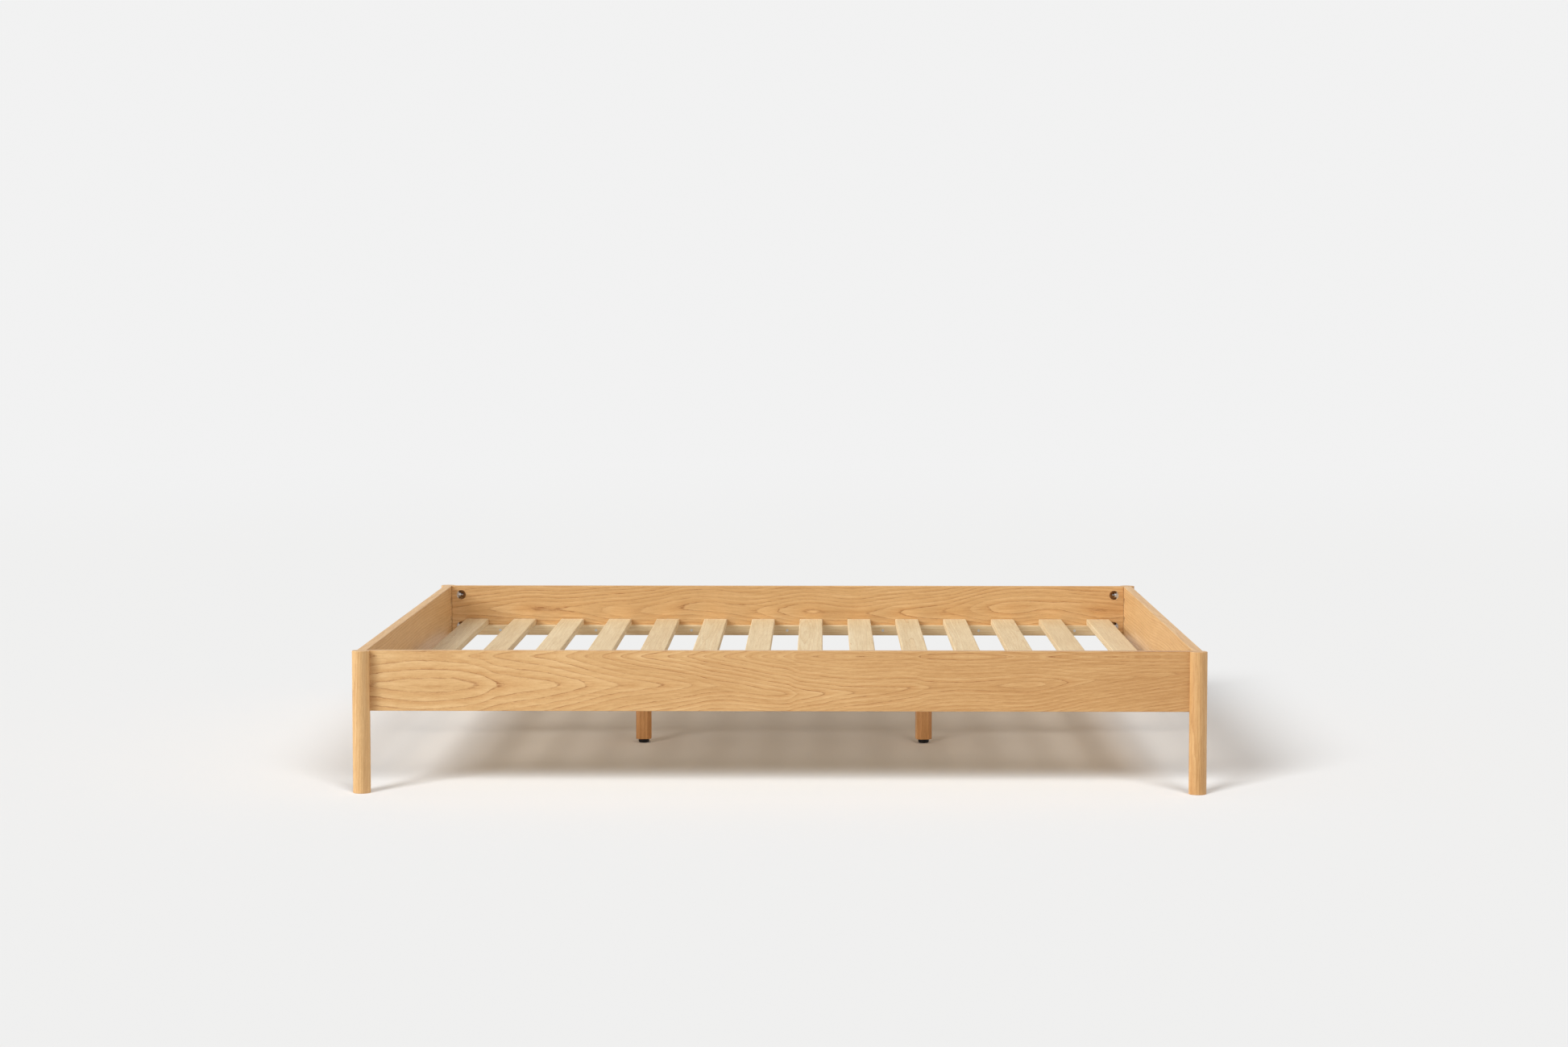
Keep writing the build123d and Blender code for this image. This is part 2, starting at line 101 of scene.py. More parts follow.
floor_mix = floor_tree.nodes.new("ShaderNodeMixShader")
floor_out = floor_tree.nodes.new("ShaderNodeOutputMaterial")
floor_tree.links.new(floor_place.outputs["Object"], floor_reach.inputs[0])
floor_tree.links.new(floor_reach.outputs["Value"], floor_fade.inputs["Value"])
floor_tree.links.new(floor_fade.outputs["Result"], floor_mix.inputs[0])
floor_tree.links.new(floor_matt.outputs[0], floor_mix.inputs[1])
floor_tree.links.new(floor_glow.outputs[0], floor_mix.inputs[2])
floor_tree.links.new(floor_mix.outputs[0], floor_out.inputs[0])
floor.data.materials.append(floor_material)

surround_strength = 0.32
surround_warmth = (1.0, 0.90, 0.81, 1.0)
world = bpy.data.worlds.new("surround")
bpy.context.scene.world = world
world.use_nodes = True
world_tree = world.node_tree
world_tree.nodes.clear()
world_ray = world_tree.nodes.new("ShaderNodeLightPath")
world_light = world_tree.nodes.new("ShaderNodeBackground")
world_light.inputs["Color"].default_value = surround_warmth
world_light.inputs["Strength"].default_value = surround_strength
world_seen = world_tree.nodes.new("ShaderNodeBackground")
world_seen.inputs["Color"].default_value = backdrop_grey
world_mix = world_tree.nodes.new("ShaderNodeMixShader")
world_out = world_tree.nodes.new("ShaderNodeOutputWorld")
world_pick = world_tree.nodes.new("ShaderNodeMath")
world_pick.operation = "MAXIMUM"
world_tree.links.new(world_ray.outputs["Is Camera Ray"], world_pick.inputs[0])
world_tree.links.new(world_ray.outputs["Is Glossy Ray"], world_pick.inputs[1])
world_tree.links.new(world_pick.outputs[0], world_mix.inputs[0])
world_tree.links.new(world_light.outputs[0], world_mix.inputs[1])
world_tree.links.new(world_seen.outputs[0], world_mix.inputs[2])
world_tree.links.new(world_mix.outputs[0], world_out.inputs[0])

# ---------------------------------------------------------------------------
# Lamps and flag: the bed and the floor are lit apart, the bed by a key from the
# left and a weaker fill from the right, the floor by two broad lamps of its own.
# ---------------------------------------------------------------------------
lit_groups = {}
for group_name, link_state in (("bed_only", "EXCLUDE"), ("floor_only", "INCLUDE")):
    lit_group = bpy.data.collections.new(group_name)
    lit_group.objects.link(floor)
    lit_group.collection_objects[0].light_linking.link_state = link_state
    lit_groups[group_name] = lit_group

# An unseen flag as large as a mattress lies just under the slats, and keeps most of the floor
# lamps' light from falling between them. It is thinner towards its two ends, and stops none of
# the bed's own lamps.
flag_length, flag_width = 2.030, 1.830
flag_below_slats = 0.001
flag_thick_until, flag_thin_from = 0.35, 0.95
flag_clear_middle, flag_clear_ends = 0.32, 0.90
flag_warmth = (1.0, 0.86, 0.72, 1.0)
flag_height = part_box("slat_01")[0].z - flag_below_slats
bpy.ops.object.select_all(action="DESELECT")
bpy.ops.mesh.primitive_plane_add(size=1.0, location=(0.0, 0.0, flag_height))
flag = bpy.context.active_object
flag.name = "studio_flag"
flag.scale = (flag_length, flag_width, 1.0)
bpy.ops.object.transform_apply(location=True, rotation=True, scale=True)
flag.visible_camera = False
flag.visible_diffuse = False
flag.visible_glossy = False
flag.visible_transmission = False
flag_material = bpy.data.materials.new("studio_flag")
flag_material.use_nodes = True
flag_tree = flag_material.node_tree
flag_tree.nodes.clear()
flag_place = flag_tree.nodes.new("ShaderNodeTexCoord")
flag_parts = flag_tree.nodes.new("ShaderNodeSeparateXYZ")
flag_far = flag_tree.nodes.new("ShaderNodeMath")
flag_far.operation = "ABSOLUTE"
flag_thin = flag_tree.nodes.new("ShaderNodeMapRange")
flag_thin.interpolation_type = "SMOOTHSTEP"
flag_thin.inputs["From Min"].default_value = flag_thick_until
flag_thin.inputs["From Max"].default_value = flag_thin_from
flag_thin.inputs["To Min"].default_value = flag_clear_middle
flag_thin.inputs["To Max"].default_value = flag_clear_ends
flag_cloth = flag_tree.nodes.new("ShaderNodeBsdfDiffuse")
flag_clear = flag_tree.nodes.new("ShaderNodeBsdfTransparent")
flag_clear.inputs["Color"].default_value = flag_warmth
flag_mix = flag_tree.nodes.new("ShaderNodeMixShader")
flag_out = flag_tree.nodes.new("ShaderNodeOutputMaterial")
flag_tree.links.new(flag_place.outputs["Object"], flag_parts.inputs[0])
flag_tree.links.new(flag_parts.outputs["X"], flag_far.inputs[0])
flag_tree.links.new(flag_far.outputs[0], flag_thin.inputs["Value"])
flag_tree.links.new(flag_thin.outputs["Result"], flag_mix.inputs[0])
flag_tree.links.new(flag_cloth.outputs[0], flag_mix.inputs[1])
flag_tree.links.new(flag_clear.outputs[0], flag_mix.inputs[2])
flag_tree.links.new(flag_mix.outputs[0], flag_out.inputs[0])
flag.data.materials.append(flag_material)
flag_free = bpy.data.collections.new("flag_free")
flag_free.objects.link(flag)
flag_free.collection_objects[0].light_linking.link_state = "EXCLUDE"

lamp_coolness = (0.93, 0.97, 1.0)
for lamp_name, lit_group, strength, softness, turn, height in (
    ("low_key_lamp", "bed_only", 1.90, 16.0, -64.0, 25.0),
    ("high_key_lamp", "bed_only", 1.60, 24.0, -62.0, 42.0),
    ("fill_lamp", "bed_only", 0.90, 40.0, 50.0, 30.0),
    ("left_floor_lamp", "floor_only", 2.90, 20.0, -30.0, 28.0),
    ("right_floor_lamp", "floor_only", 1.90, 24.0, 20.0, 33.0),
):
    lamp_data = bpy.data.lights.new(lamp_name, "SUN")
    lamp_data.energy = strength
    lamp_data.angle = math.radians(softness)
    lamp_data.color = lamp_coolness
    lamp = bpy.data.objects.new(lamp_name, lamp_data)
    lamp.light_linking.receiver_collection = lit_groups[lit_group]
    if lit_group == "bed_only":
        lamp.light_linking.blocker_collection = flag_free
    lamp_level = math.cos(math.radians(height))
    lamp_from = Vector((
        math.sin(math.radians(turn)) * lamp_level,
        -math.cos(math.radians(turn)) * lamp_level,
        math.sin(math.radians(height)),
    ))
    lamp.rotation_euler = lamp_from.to_track_quat("Z", "Y").to_euler()
    bpy.context.scene.collection.objects.link(lamp)

# ---------------------------------------------------------------------------
# Corner posts: turned from straight-grained oak, 44 mm across, left flat at
# the top and standing on their own end grain. Oiled, so the pores stay open.
# ---------------------------------------------------------------------------


def wire(tree, value, socket):
    """Link a socket to a socket, or set a plain value on it."""
    if isinstance(value, bpy.types.NodeSocket):
        tree.links.new(value, socket)
    else:
        socket.default_value = value


def calc(tree, operation, *values):
    """One Math node."""
    node = tree.nodes.new("ShaderNodeMath")
    node.operation = operation
    for value, socket in zip(values, node.inputs):
        wire(tree, value, socket)
    return node.outputs[0]


def speckle(tree, vector, grain, detail=2.0, roughness=0.5):
    """Noise about 0.5 whose grains have the given size in metres along X, Y and Z."""
    stretch = tree.nodes.new("ShaderNodeVectorMath")
    stretch.operation = "DIVIDE"
    wire(tree, vector, stretch.inputs[0])
    stretch.inputs[1].default_value = grain
    noise = tree.nodes.new("ShaderNodeTexNoise")
    noise.inputs["Scale"].default_value = 1.0
    noise.inputs["Detail"].default_value = detail
    noise.inputs["Roughness"].default_value = roughness
    tree.links.new(stretch.outputs[0], noise.inputs["Vector"])
    return noise.outputs["Fac"]


def spread(tree, value, low, high, to_low=0.0, to_high=1.0):
    """A clamped Map Range node with soft ends."""
    node = tree.nodes.new("ShaderNodeMapRange")
    node.interpolation_type = "SMOOTHSTEP"
    for name, number in zip(("From Min", "From Max", "To Min", "To Max"), (low, high, to_low, to_high)):
        wire(tree, number, node.inputs[name])
    wire(tree, value, node.inputs["Value"])
    return node.outputs["Result"]


def centred(tree, value, size):
    """Noise shifted to run either side of nought, and scaled."""
    return calc(tree, "MULTIPLY", calc(tree, "SUBTRACT", value, 0.5), size)


def build_timber_group():
    """Growth rings round a pith, with the fibre, pores and rays that follow the grain."""
    group = bpy.data.node_groups.new("timber", "ShaderNodeTree")
    for name in ("Along", "Depth", "Across", "Rings", "Ring Width", "Waviness", "Unevenness", "Seed"):
        group.interface.new_socket(name, in_out="INPUT", socket_type="NodeSocketFloat")
    for name in ("Line", "Zone", "Tone", "Fibre", "Pores", "Rays"):
        group.interface.new_socket(name, in_out="OUTPUT", socket_type="NodeSocketFloat")
    given = group.nodes.new("NodeGroupInput").outputs
    result = group.nodes.new("NodeGroupOutput").inputs
    place = group.nodes.new("ShaderNodeCombineXYZ")
    seed_shift = calc(group, "MULTIPLY", given["Seed"], 0.83)
    for name, socket in zip(("Along", "Depth", "Across"), place.inputs):
        group.links.new(calc(group, "ADD", given[name], seed_shift), socket)
    spot = place.outputs[0]

    # Rings: the distance from the pith, made uneven by slow bends and by the fraying of the fibre.
    slow = centred(group, speckle(group, spot, (0.34, 0.060, 0.060), 2.0), given["Waviness"])
    quick_size = calc(group, "MULTIPLY", given["Waviness"], 0.70)
    quick = centred(group, speckle(group, spot, (0.070, 0.010, 0.010), 2.0), quick_size)
    fray_size = calc(group, "MULTIPLY", given["Waviness"], 0.32)
    fray = centred(group, speckle(group, spot, (0.032, 0.0030, 0.0030), 3.0, 0.60), fray_size)
    fibre = speckle(group, spot, (0.030, 0.0017, 0.0017), 4.0, 0.75)
    teeth = centred(group, fibre, 0.0018)
    depth_squared = calc(group, "MULTIPLY", given["Depth"], given["Depth"])
    across_squared = calc(group, "MULTIPLY", given["Across"], given["Across"])
    radius = calc(group, "SQRT", calc(group, "ADD", depth_squared, across_squared))
    for wander in (slow, quick, fray, teeth):
        radius = calc(group, "ADD", radius, wander)
    age = calc(group, "ADD", calc(group, "DIVIDE", radius, given["Ring Width"]), given["Rings"])
    climate = group.nodes.new("ShaderNodeTexNoise")
    climate.noise_dimensions = "1D"
    climate.inputs["Scale"].default_value = 0.45
    climate.inputs["Detail"].default_value = 1.0
    group.links.new(calc(group, "ADD", age, given["Seed"]), climate.inputs["W"])
    age = calc(group, "ADD", age, centred(group, climate.outputs["Fac"], given["Unevenness"]))
    year = calc(group, "FRACT", calc(group, "ADD", age, 100.0))
    rest_of_year = calc(group, "SUBTRACT", calc(group, "FRACT", calc(group, "ADD", age, 100.5)), 0.5)
    luck = []
    for shift in (0.0, 0.5):
        lottery = group.nodes.new("ShaderNodeTexWhiteNoise")
        lottery.noise_dimensions = "1D"
        ring_number = calc(group, "FLOOR", calc(group, "ADD", age, shift))
        group.links.new(calc(group, "ADD", ring_number, given["Seed"]), lottery.inputs["W"])
        luck.append(lottery.outputs["Value"])

    # Each year starts with a thin dark line, which fades here and there, and then pales slowly.
    fade = spread(group, speckle(group, spot, (0.110, 0.016, 0.016), 1.0), 0.34, 0.58, 0.45, 1.0)
    strength = calc(group, "MULTIPLY", spread(group, luck[1], 0.15, 0.95, 0.16, 1.0), fade)
    strength = calc(group, "MULTIPLY", strength, spread(group, fibre, 0.62, 0.40, 0.30, 1.15))
    rise = spread(group, rest_of_year, -0.04, 0.01)
    fall = spread(group, rest_of_year, 0.01, 0.13, 1.0, 0.0)
    line = calc(group, "MULTIPLY", calc(group, "MULTIPLY", rise, fall), strength)
    zone = calc(group, "MULTIPLY", spread(group, year, 0.0, 0.05), spread(group, year, 0.05, 0.95, 1.0, 0.0))
    zone = calc(group, "MULTIPLY", zone, calc(group, "MULTIPLY_ADD", luck[0], 0.7, 0.3))

    # Fibre and pores run with the grain; the pores crowd in each year's first growth.
    cloud = centred(group, speckle(group, spot, (0.300, 0.040, 0.040), 1.0), 0.22)
    streak = centred(group, speckle(group, spot, (0.160, 0.0050, 0.0050), 3.0, 0.65), 0.50)
    tone = calc(group, "ADD", calc(group, "ADD", cloud, streak), centred(group, luck[0], 0.08))
    dashes = speckle(group, spot, (0.0050, 0.00032, 0.00032), 1.0)
    early = spread(group, year, 0.0, 0.34, 1.0, 0.25)
    pores = calc(group, "MULTIPLY", spread(group, dashes, 0.56, 0.70), early)
    flecks = speckle(group, spot, (0.013, 0.00050, 0.0025), 1.0)
    for name, value in (
        ("Line", line),
        ("Zone", zone),
        ("Tone", tone),
        ("Fibre", fibre),
        ("Pores", pores),
        ("Rays", spread(group, flecks, 0.66, 0.74)),
    ):
        group.links.new(value, result[name])
    return group


timber_group = build_timber_group()


def start_material(name):
    """A new material with one Principled shader, and the X, Y and Z of the Object coordinates."""
    material = bpy.data.materials.new(name)
    material.use_nodes = True
    tree = material.node_tree
    tree.nodes.clear()
    shader = tree.nodes.new("ShaderNodeBsdfPrincipled")
    output = tree.nodes.new("ShaderNodeOutputMaterial")
    tree.links.new(shader.outputs[0], output.inputs[0])
    place = tree.nodes.new("ShaderNodeTexCoord")
    parts = tree.nodes.new("ShaderNodeSeparateXYZ")
    tree.links.new(place.outputs["Object"], parts.inputs[0])
    return material, tree, shader, parts.outputs


def mix_colour(tree, share, first, second):
    """Two colours, or a colour and a socket, mixed by a share."""
    node = tree.nodes.new("ShaderNodeMix")
    node.data_type = "RGBA"
    wire(tree, share, node.inputs[0])
    wire(tree, first, node.inputs[6])
    wire(tree, second, node.inputs[7])
    return node.outputs[2]


oak_colours = {
    "pale": (0.680, 0.420, 0.186, 1.0),
    "middle": (0.560, 0.290, 0.102, 1.0),
    "dark": (0.290, 0.098, 0.022, 1.0),
    "pores": (0.300, 0.130, 0.042, 1.0),
}


zone_strength = 0.70
pore_strength = 0.45
fibre_contrast = 0.54
ray_darkening = 0.06
fibre_roughness, pore_roughness = 0.16, 0.20
fibre_relief = 0.35
tone_powers = (0.75, 1.15, 1.70)


def finish_timber(tree, shader, figure, colours, gloss, line_strength=0.85, tint=0.0):
    """Colour, roughness and relief of one timber, from its place about the pith."""
    timber = tree.nodes.new("ShaderNodeGroup")
    timber.node_tree = timber_group
    for name, value in figure.items():
        wire(tree, value, timber.inputs[name])
    ring = timber.outputs
    zone_share = calc(tree, "MULTIPLY", ring["Zone"], zone_strength)
    colour = mix_colour(tree, zone_share, colours["pale"], colours["middle"])
    colour = mix_colour(tree, calc(tree, "MULTIPLY", ring["Line"], line_strength), colour, colours["dark"])
    colour = mix_colour(tree, calc(tree, "MULTIPLY", ring["Pores"], pore_strength), colour, colours["pores"])
    tone = calc(tree, "ADD", ring["Tone"], centred(tree, ring["Fibre"], fibre_contrast))
    tone = calc(tree, "SUBTRACT", tone, calc(tree, "MULTIPLY", ring["Rays"], ray_darkening))
    tone = calc(tree, "ADD", tone, calc(tree, "ADD", tint, 1.0))
    # A darker tone is also a redder one: green falls a little, and blue more, than red does.
    shade = tree.nodes.new("ShaderNodeCombineXYZ")
    for power, socket in zip(tone_powers, shade.inputs):
        tree.links.new(calc(tree, "POWER", tone, power), socket)
    product = tree.nodes.new("ShaderNodeVectorMath")
    product.operation = "MULTIPLY"
    tree.links.new(colour, product.inputs[0])
    tree.links.new(shade.outputs[0], product.inputs[1])
    tree.links.new(product.outputs[0], shader.inputs["Base Color"])
    rough = calc(tree, "MULTIPLY_ADD", ring["Fibre"], fibre_roughness, gloss)
    rough = calc(tree, "MULTIPLY_ADD", ring["Pores"], pore_roughness, rough)
    tree.links.new(rough, shader.inputs["Roughness"])
    height = calc(tree, "SUBTRACT", calc(tree, "MULTIPLY", ring["Fibre"], fibre_relief), ring["Pores"])
    bump = tree.nodes.new("ShaderNodeBump")
    bump.inputs["Strength"].default_value = 0.45
    bump.inputs["Distance"].default_value = 0.0002
    tree.links.new(height, bump.inputs["Height"])
    tree.links.new(bump.outputs[0], shader.inputs["Normal"])
    shader.inputs["IOR"].default_value = 1.46


def give(material, *names):
    """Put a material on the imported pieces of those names."""
    for name in names:
        piece = nodes[name]
        piece.data.materials.clear()
        piece.data.materials.append(material)


def mirror_offset(tree, value, centre):
    """Distance from the nearer of two like pieces at plus and minus centre."""
    return calc(tree, "SUBTRACT", value, calc(tree, "MULTIPLY", calc(tree, "SIGN", value), centre))


def middle_of(name, axis):
    """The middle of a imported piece's box along one axis, without its sign."""
    low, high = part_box(name)
    return abs(low[axis] + high[axis]) / 2


posts = [f"{end}_{side}_post" for end in ("head", "foot") for side in ("near", "far")]
post_x = middle_of(posts[0], 0)
post_y = middle_of(posts[0], 1)
post_material, tree, shader, (x, y, z) = start_material("oak_posts")
post_end = calc(tree, "SIGN", x)
post_side = calc(tree, "SIGN", y)
post_end_seed = calc(tree, "MULTIPLY_ADD", post_end, 3.1, 11.0)
post_seed = calc(tree, "ADD", post_end_seed, calc(tree, "MULTIPLY", post_side, 1.7))
post_lean = calc(tree, "MULTIPLY", calc(tree, "MULTIPLY", z, post_end), 0.030)
post_figure = {
    "Along": z,
    "Depth": calc(tree, "ADD", calc(tree, "ADD", mirror_offset(tree, y, post_y), post_lean), 0.120),
    "Across": calc(tree, "ADD", mirror_offset(tree, x, post_x), 0.150),
    "Rings": 0.0,
    "Ring Width": 0.0050,
    "Waviness": 0.006,
    "Unevenness": 1.2,
    "Seed": post_seed,
}
# The foot posts are tinted darker, partly a different piece of oak and partly painted shade.
post_tone_and_painted_shade = calc(tree, "MULTIPLY_ADD", post_end, -0.070, -0.085)
finish_timber(tree, shader, post_figure, oak_colours, 0.40, 0.45, post_tone_and_painted_shade)
give(post_material, *posts)

# ---------------------------------------------------------------------------
# Near side rail: one flat-sawn oak plank. Its pith wanders behind the face,
# so the rings are cut as arches, an oval and an eye, and run close below.
# ---------------------------------------------------------------------------
near_low, near_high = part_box("near_side_rail")
bed_half_length = cad_high.x
near_ring = 0.0080
rings_full_scale = 20.0
near_rings_by_place = (
    (-1.060, 1.50),
    (-0.979, 1.00),
    (-0.868, 0.60),
    (-0.760, 1.00),
    (-0.695, 2.00),
    (-0.558, 3.00),
    (-0.476, 4.00),
    (-0.402, 5.00),
    (-0.294, 6.00),
    (-0.220, 7.00),
    (-0.158, 8.00),
    (-0.060, 8.50),
    (0.016, 9.00),
    (0.045, 10.00),
    (0.107, 11.00),
    (0.173, 12.00),
    (0.324, 13.00),
    (0.375, 14.00),
    (0.460, 14.45),
    (0.545, 14.00),
    (0.612, 13.60),
    (0.660, 14.00),
    (0.714, 15.00),
    (0.780, 16.00),
    (1.060, 18.60),
)
near_pith_gap = 0.005
near_flatness_by_place = (
    (-1.060, 0.40),
    (-0.600, 0.46),
    (-0.300, 0.72),
    (0.000, 0.86),
    (0.400, 0.88),
    (1.060, 0.98),
)
near_height_by_place = (
    (-1.060, 0.268),
    (-0.700, 0.270),
    (-0.300, 0.270),
    (-0.150, 0.268),
    (0.016, 0.249),
    (0.170, 0.252),
    (0.375, 0.266),
    (0.612, 0.272),
    (0.780, 0.284),
    (1.060, 0.306),
)
near_turnover = 0.342
near_turnover_softness = 0.012


def path_value(tree, along, points, full_scale):
    """A smooth curve through given points along the bed."""
    share = calc(tree, "DIVIDE", calc(tree, "ADD", along, bed_half_length), 2 * bed_half_length)
    curve = tree.nodes.new("ShaderNodeFloatCurve")
    line = curve.mapping.curves[0]
    for position, value in points[1:-1]:
        line.points.new((position + bed_half_length) / (2 * bed_half_length), value / full_scale)
    line.points[0].location = (0.0, points[0][1] / full_scale)
    line.points[-1].location = (1.0, points[-1][1] / full_scale)
    curve.mapping.update()
    tree.links.new(share, curve.inputs["Value"])
    return calc(tree, "MULTIPLY", curve.outputs[0], full_scale)


near_material, tree, shader, (x, y, z) = start_material("oak_near_rail")
near_flatness = path_value(tree, x, near_flatness_by_place, 1.0)
near_height = path_value(tree, x, near_height_by_place, 0.5)
near_rings = path_value(tree, x, near_rings_by_place, rings_full_scale)
into_board = calc(tree, "SUBTRACT", y, near_low.y)
# Above the turnover the fibre dives under again, so the rings close to the left along the top edge.
turned_over = calc(tree, "SUBTRACT", 2 * near_turnover, z)
folded = tree.nodes.new("ShaderNodeMath")
folded.operation = "SMOOTH_MIN"
tree.links.new(z, folded.inputs[0])
tree.links.new(turned_over, folded.inputs[1])
folded.inputs[2].default_value = near_turnover_softness
near_figure = {
    "Along": x,
    "Depth": calc(tree, "ADD", into_board, near_pith_gap),
    "Across": calc(tree, "MULTIPLY", calc(tree, "SUBTRACT", folded.outputs[0], near_height), near_flatness),
    "Rings": calc(tree, "SUBTRACT", near_rings, near_pith_gap / near_ring),
    "Ring Width": near_ring,
    "Waviness": 0.0045,
    "Unevenness": 0.0,
    "Seed": 4.0,
}
# A tint, not the wood itself: darker beside the head post, a painted shade in place of the shade there, and
# deeper towards the foot end, partly the plank's own tone and partly painted shade.
near_corner_width = 0.042
near_corner_shade = 0.36
near_tint_middle = -0.112
near_tint_each_metre = -0.140
near_line_middle = 0.98
near_line_each_metre = 0.10
towards_head = calc(tree, "MULTIPLY", x, -1.0)
near_corner = spread(tree, towards_head, near_high.x - near_corner_width, near_high.x, 0.0, near_corner_shade)
near_tone_and_painted_shade = calc(tree, "MULTIPLY_ADD", x, near_tint_each_metre, near_tint_middle)
near_tint = calc(tree, "SUBTRACT", near_tone_and_painted_shade, near_corner)
near_line = calc(tree, "MULTIPLY_ADD", x, near_line_each_metre, near_line_middle)
finish_timber(tree, shader, near_figure, oak_colours, 0.40, near_line, near_tint)
give(near_material, "near_side_rail")

# ---------------------------------------------------------------------------
# Far side rail and the two end rails: planks of the same oak, each from a
# different log, so each has a figure of its own.
# ---------------------------------------------------------------------------


def wandering(tree, along, seed, reach, size, about=0.0):
    """A value that wanders along a board, once in every stretch of the given reach."""
    noise = tree.nodes.new("ShaderNodeTexNoise")
    noise.noise_dimensions = "1D"
    noise.inputs["Scale"].default_value = 1.0 / reach
    noise.inputs["Detail"].default_value = 1.0
    tree.links.new(calc(tree, "ADD", seed, along), noise.inputs["W"])
    return calc(tree, "ADD", centred(tree, noise.outputs["Fac"], size), about)


far_low, far_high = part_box("far_side_rail")
rail_middle = (far_low.z + far_high.z) / 2
far_material, tree, shader, (x, y, z) = start_material("oak_far_rail")
far_side = calc(tree, "SUBTRACT", z, rail_middle)
far_rings = calc(tree, "ADD", wandering(tree, x, 5.0, 0.45, 5.0), calc(tree, "MULTIPLY", x, -6.5))
far_figure = {
    "Along": x,
    "Depth": calc(tree, "ADD", calc(tree, "SUBTRACT", y, far_high.y), 0.040),
    "Across": calc(tree, "MULTIPLY", calc(tree, "ADD", far_side, wandering(tree, x, 2.0, 0.50, 0.08)), 0.75),
    "Rings": far_rings,
    "Ring Width": 0.0075,
    "Waviness": 0.0042,
    "Unevenness": 0.5,
    "Seed": 6.0,
}
finish_timber(tree, shader, far_figure, oak_colours, 0.40)
give(far_material, "far_side_rail")

end_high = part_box("foot_rail")[1]
end_material, tree, shader, (x, y, z) = start_material("oak_end_rails")
end_seed = calc(tree, "MULTIPLY_ADD", calc(tree, "SIGN", x), 3.0, 20.0)
end_rings = wandering(tree, y, calc(tree, "ADD", end_seed, 1.0), 0.90, 2.2)
end_rings = calc(tree, "ADD", end_rings, calc(tree, "MULTIPLY", y, 1.5))
into_end_board = calc(tree, "SUBTRACT", calc(tree, "ABSOLUTE", x), end_high.x)
end_side = calc(tree, "SUBTRACT", z, rail_middle)
# The pith runs behind and below these two boards, so their grain is nearly straight.
end_pith_behind, end_pith_below = 0.060, 0.085
end_across = calc(tree, "ADD", end_side, end_pith_below)
end_figure = {
    "Along": y,
    "Depth": calc(tree, "ADD", into_end_board, end_pith_behind),
    "Across": calc(tree, "ADD", end_across, wandering(tree, y, end_seed, 1.20, 0.030)),
    "Rings": end_rings,
    "Ring Width": 0.0075,
    "Waviness": 0.0028,
    "Unevenness": 0.5,
    "Seed": end_seed,
}
finish_timber(tree, shader, end_figure, oak_colours, 0.40, 0.65)
give(end_material, "head_rail", "foot_rail")

# ---------------------------------------------------------------------------
# Centre legs: square oak with wide chamfers, straight-grained, standing under
# the centre beam, each held up to it by one bolt.
# ---------------------------------------------------------------------------
leg_x = middle_of("head_centre_leg", 0)
leg_material, tree, shader, (x, y, z) = start_material("oak_centre_legs")
leg_seed = calc(tree, "ADD", calc(tree, "SIGN", x), 31.0)
leg_figure = {
    "Along": z,
    "Depth": calc(tree, "ADD", y, 0.140),
    "Across": calc(tree, "ADD", mirror_offset(tree, x, leg_x), 0.130),
    "Rings": 0.0,
    "Ring Width": 0.0055,
    "Waviness": 0.006,
    "Unevenness": 1.2,
    "Seed": leg_seed,
}
# A darker tint on the chamfers stands in for the shade they lie in. The foot leg stands turned
# by ten degrees, so the chamfers are found in each leg's own axes.
leg_half = 0.021
foot_leg_turn = math.radians(10.0)
leg_off = mirror_offset(tree, x, leg_x)
leg_turn = calc(tree, "MULTIPLY", calc(tree, "ADD", calc(tree, "SIGN", x), 1.0), foot_leg_turn / 2)
leg_cosine = calc(tree, "COSINE", leg_turn)
leg_sine = calc(tree, "SINE", leg_turn)
off_cosine, off_sine = (calc(tree, "MULTIPLY", leg_off, ratio) for ratio in (leg_cosine, leg_sine))
y_cosine, y_sine = (calc(tree, "MULTIPLY", y, ratio) for ratio in (leg_cosine, leg_sine))
leg_own_x = calc(tree, "ADD", off_cosine, y_sine)
leg_own_y = calc(tree, "SUBTRACT", y_cosine, off_sine)
leg_corner = calc(tree, "ADD", calc(tree, "ABSOLUTE", leg_own_x), calc(tree, "ABSOLUTE", leg_own_y))
leg_flats_end, leg_chamfer_start = leg_half * 1.490, leg_half * 1.515
leg_flat_tint, leg_chamfer_tint = -0.10, -0.20
leg_tint = spread(tree, leg_corner, leg_flats_end, leg_chamfer_start, leg_flat_tint, leg_chamfer_tint)
leg_colours = dict(oak_colours, pale=(0.760, 0.410, 0.170, 1.0), middle=(0.620, 0.285, 0.095, 1.0))
finish_timber(tree, shader, leg_figure, leg_colours, 0.40, 0.50, leg_tint)
give(leg_material, "head_centre_leg", "foot_centre_leg")

# ---------------------------------------------------------------------------
# Slats, ledgers and centre beam: planed pine, left bare. The slats are
# screwed down on the ledgers at both ends.
# ---------------------------------------------------------------------------
pine_colours = {
    "pale": (0.730, 0.560, 0.335, 1.0),
    "middle": (0.690, 0.480, 0.250, 1.0),
    "dark": (0.500, 0.270, 0.100, 1.0),
    "pores": (0.500, 0.330, 0.160, 1.0),
}
slats = sorted(name for name in nodes if name.startswith("slat_") and name[5:].isdigit())
first_slat_x = -middle_of(slats[0], 0)
slat_pitch = middle_of(slats[0], 0) - middle_of(slats[1], 0)
slat_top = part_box(slats[0])[1].z
slat_material, tree, shader, (x, y, z) = start_material("pine_slats")
slat_index = calc(tree, "ROUND", calc(tree, "DIVIDE", calc(tree, "SUBTRACT", x, first_slat_x), slat_pitch))
slat_middle = calc(tree, "MULTIPLY_ADD", slat_index, slat_pitch, first_slat_x)
slat_lottery = tree.nodes.new("ShaderNodeTexWhiteNoise")
slat_lottery.noise_dimensions = "1D"
